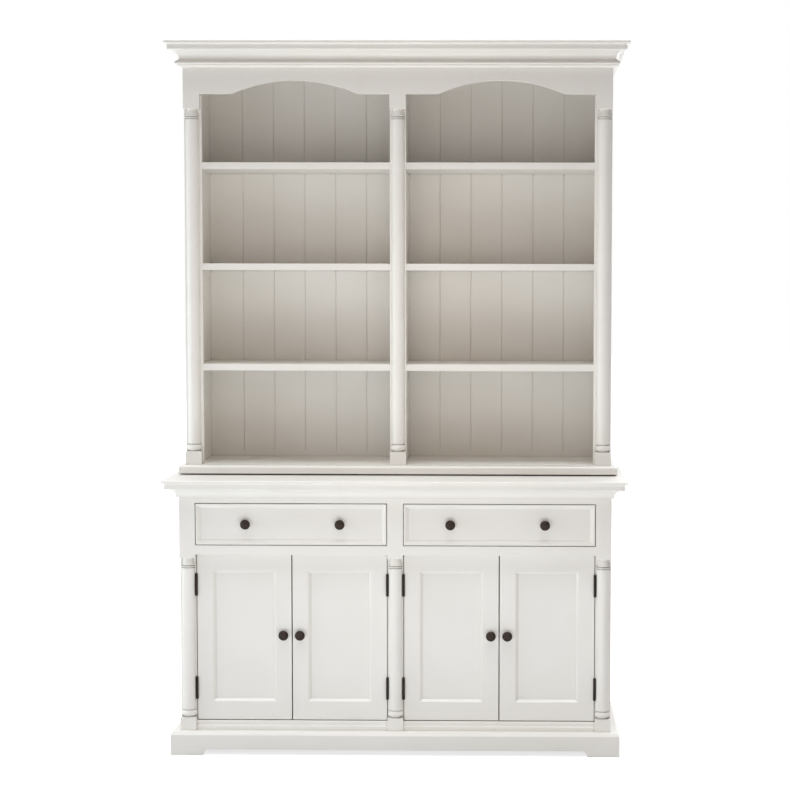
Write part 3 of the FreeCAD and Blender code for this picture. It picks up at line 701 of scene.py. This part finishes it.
# one bolt behind each knob, on the back of the door's frame or the drawer's front
boltLook = {
    "sizes": {"Radius": 0.0055, "Top Radius": 0.0040, "Height": 0.0024,
              "Slot Size": (0.016, 0.0013, 0.0026), "Seed": 3, "Metal": metals["screwSteel"]},
}


def makeKnobBolts():
    for joint in joints:
        body = joint["child"]
        isDoor = joint["type"] == "hinge"
        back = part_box(body + ("_frame" if isDoor else "_front"))[1][1]
        middles = [middleOf(knob) for knob in solidBoxes(body + ("_knob" if isDoor else "_knobs"))]
        spots = [((middle.x, back, middle.z), (0, 1, 0)) for middle in middles]
        makePiece(body + "_knob_bolts", headTree, spots, boltLook["sizes"], body)


# rows of sleeves in the cupboard sides, with the pins in the middle ones
sleeveLook = {
    "pitch": 0.032, "count": 9,
    "sizes": {"Radius": 0.0046, "Bore Radius": 0.0031, "Height": 0.0003, "Bore Lift": 0.0001,
              "Metal": metals["pinBrass"], "Bore": dulls["boreShade"]},
}


def makePinSleeves():
    look = sleeveLook
    shelves = [middleOf(shelf) for shelf in solidBoxes("cupboard_shelves")]
    spots = []
    for low, high in solidBoxes("shelf_pins"):
        pin = middleOf((low, high))
        shelf = min(shelves, key=lambda middle: abs(middle.x - pin.x))
        way = 1 if shelf.x > pin.x else -1
        face = low.x if way > 0 else high.x
        for step in range(look["count"]):
            z = pin.z + look["pitch"] * (step - look["count"] // 2)
            spots.append(((face, pin.y, z), (way, 0, 0)))
    makePiece("shelf_pin_sleeves", sleeveTree, spots, look["sizes"], "cabinet")


# five tails at each end of a drawer's front, as high as its sides
tailLook = {
    "count": 5,
    "sizes": {"Size": (0.0002, 0.012, 0.011), "Flare": -26.0, "Wood": bare["y"]},
}


def makeDovetails():
    look = tailLook
    for joint in joints:
        if joint["type"] != "slide":
            continue
        drawer = joint["child"]
        low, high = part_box(drawer + "_front")
        foot, top = (corner[2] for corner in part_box(drawer + "_sides"))
        pitch = (top - foot) / look["count"]
        y = high[1] - look["sizes"]["Size"][1] / 2
        heights = [foot + pitch * (step + 0.5) for step in range(look["count"])]
        spots = [((x, y, z), (1, 0, 0)) for x in (low[0], high[0]) for z in heights]
        makePiece(drawer + "_dovetails", tailTree, spots, look["sizes"], drawer)


makeHingeScrews()
makeKnobBolts()
makePinSleeves()
makeDovetails()
print("screws, bolts, sleeves and dovetails set")

# a pale floor and world, white where they are seen, with a plain diffuse part for light and shadow
stageLook = {
    "size": 60, "floorColor": (0.65, 0.65, 0.65, 1), "floorGlow": 0.72,
    "worldLight": 0.115, "worldTint": (1.35, 1.0, 0.86, 1), "worldSeen": (1, 1, 1, 1), "worldGlow": 1.0,
    "seenBy": ("Is Camera Ray", "Is Glossy Ray", "Is Transmission Ray"),
}


def isSeen(tree):
    path = put(tree, "ShaderNodeLightPath").outputs
    first, *others = stageLook["seenBy"]
    total = path[first]
    for name in others:
        total = calc(tree, "MAXIMUM", total, path[name])
    return total


def makeFloor():
    look = stageLook
    half = look["size"] / 2
    mesh = bpy.data.meshes.new("floor")
    corners = [(-half, -half, 0), (half, -half, 0), (half, half, 0), (-half, half, 0)]
    mesh.from_pydata(corners, [], [(0, 1, 2, 3)])
    floor = bpy.data.objects.new("floor", mesh)
    scene.collection.objects.link(floor)
    material = bpy.data.materials.new("palePaper")
    material.use_nodes = True
    tree = material.node_tree
    tree.nodes.clear()
    matt = put(tree, "ShaderNodeBsdfDiffuse", {"Color": look["floorColor"]})
    glow = put(tree, "ShaderNodeEmission", {"Strength": share(tree, isSeen(tree), look["floorGlow"])})
    both = put(tree, "ShaderNodeAddShader", {0: matt.outputs[0], 1: glow.outputs[0]})
    put(tree, "ShaderNodeOutputMaterial", {"Surface": both.outputs[0]})
    mesh.materials.append(material)


def makeWorld():
    look = stageLook
    world = bpy.data.worlds.new("studio")
    scene.world = world
    world.use_nodes = True
    tree = world.node_tree
    tree.nodes.clear()
    seen = isSeen(tree)
    strength = remap(tree, seen, newSpan=(look["worldLight"], look["worldGlow"]))
    tint = mixColor(tree, seen, look["worldTint"], look["worldSeen"])
    sky = put(tree, "ShaderNodeBackground", {"Color": tint, "Strength": strength})
    put(tree, "ShaderNodeOutputWorld", {"Surface": sky.outputs[0]})


# a wide light from above and a little before, as far off as a sun, so that the crown is no brighter
# than the base, in watts per square metre
overhead = {"way": (0.0, 0.10, -1.0), "spread": 0.8, "power": 2.8, "tint": (0.95, 1.0, 1.05)}

# soft boxes, in watts: two at the left, one low at the right, one that lies before the object,
# a weak one before the shelves and one for the back
middle = (0.0, 0.0, 1.1)
lamps = {
    "leftSide": {
        "place": (-4.0, -0.7, 1.0), "aim": middle, "size": 1.8, "power": 41.5, "tint": (0.91, 1.0, 0.99),
    },
    "leftNear": {
        "place": (-2.2, -1.6, 1.0), "aim": middle, "size": 1.0, "power": 4.9, "tint": (0.85, 1.0, 1.2),
    },
    "rightLow": {
        "place": (3.0, -3.5, 0.6), "aim": middle, "size": 1.8, "power": 2, "tint": (1.3, 1.0, 0.8),
    },
    "floorNear": {
        "place": (0.0, -1.3, 0.08), "aim": (0.0, -0.7, 2.2), "size": 1.8,
        "power": 16.5, "tint": (0.95, 1.0, 1.02),
    },
    "shelfFront": {
        "place": (0.0, -1.1, 1.45), "aim": (0.0, 0.25, 1.55), "size": 0.6,
        "power": 1.5, "tint": (1.19, 1.0, 0.87),
    },
    "behind": {
        "place": (2.6, 4.2, 2.4), "aim": middle, "size": 2.4, "power": 70, "tint": (1.0, 1.0, 1.0),
    },
}


def addLamp(name, kind, look, way):
    data = bpy.data.lights.new(name, kind)
    data.energy = look["power"]
    data.color = look["tint"]
    lamp = bpy.data.objects.new(name, data)
    lamp.rotation_euler = Vector(way).to_track_quat("-Z", "Y").to_euler()
    scene.collection.objects.link(lamp)
    return lamp


def makeLamps():
    sun = addLamp("overhead", "SUN", overhead, overhead["way"])
    sun.data.angle = overhead["spread"]
    for name, look in lamps.items():
        lamp = addLamp(name, "AREA", look, Vector(look["aim"]) - Vector(look["place"]))
        lamp.data.size = look["size"]
        lamp.location = look["place"]
        lamp.visible_camera = False


# camera, read from the photo: lens in pixels of a 790 pixel frame, turns in degrees
cameraLook = {
    "place": (0.3692, -5.9238, 1.4744), "down": 3.554, "left": 0.801, "roll": 0.113,
    "lensPixels": 1867.8, "framePixels": 790, "axisPixel": 489, "sensor": 36,
}


def makeCamera():
    look = cameraLook
    data = bpy.data.cameras.new("camera")
    data.sensor_width = look["sensor"]
    data.lens = look["lensPixels"] / look["framePixels"] * look["sensor"]
    data.shift_x = 0.5 - look["axisPixel"] / look["framePixels"]
    camera = bpy.data.objects.new("camera", data)
    turn = Matrix.Rotation(math.radians(look["left"]), 3, "Z")
    tilt = Matrix.Rotation(math.radians(90 - look["down"]), 3, "X")
    roll = Matrix.Rotation(math.radians(look["roll"]), 3, "Z")
    camera.rotation_euler = (turn @ tilt @ roll).to_euler()
    camera.location = look["place"]
    scene.collection.objects.link(camera)
    scene.camera = camera


makeFloor()
makeWorld()
makeLamps()
makeCamera()
scene.view_settings.view_transform = "Standard"
print("stage, lamps and camera set")
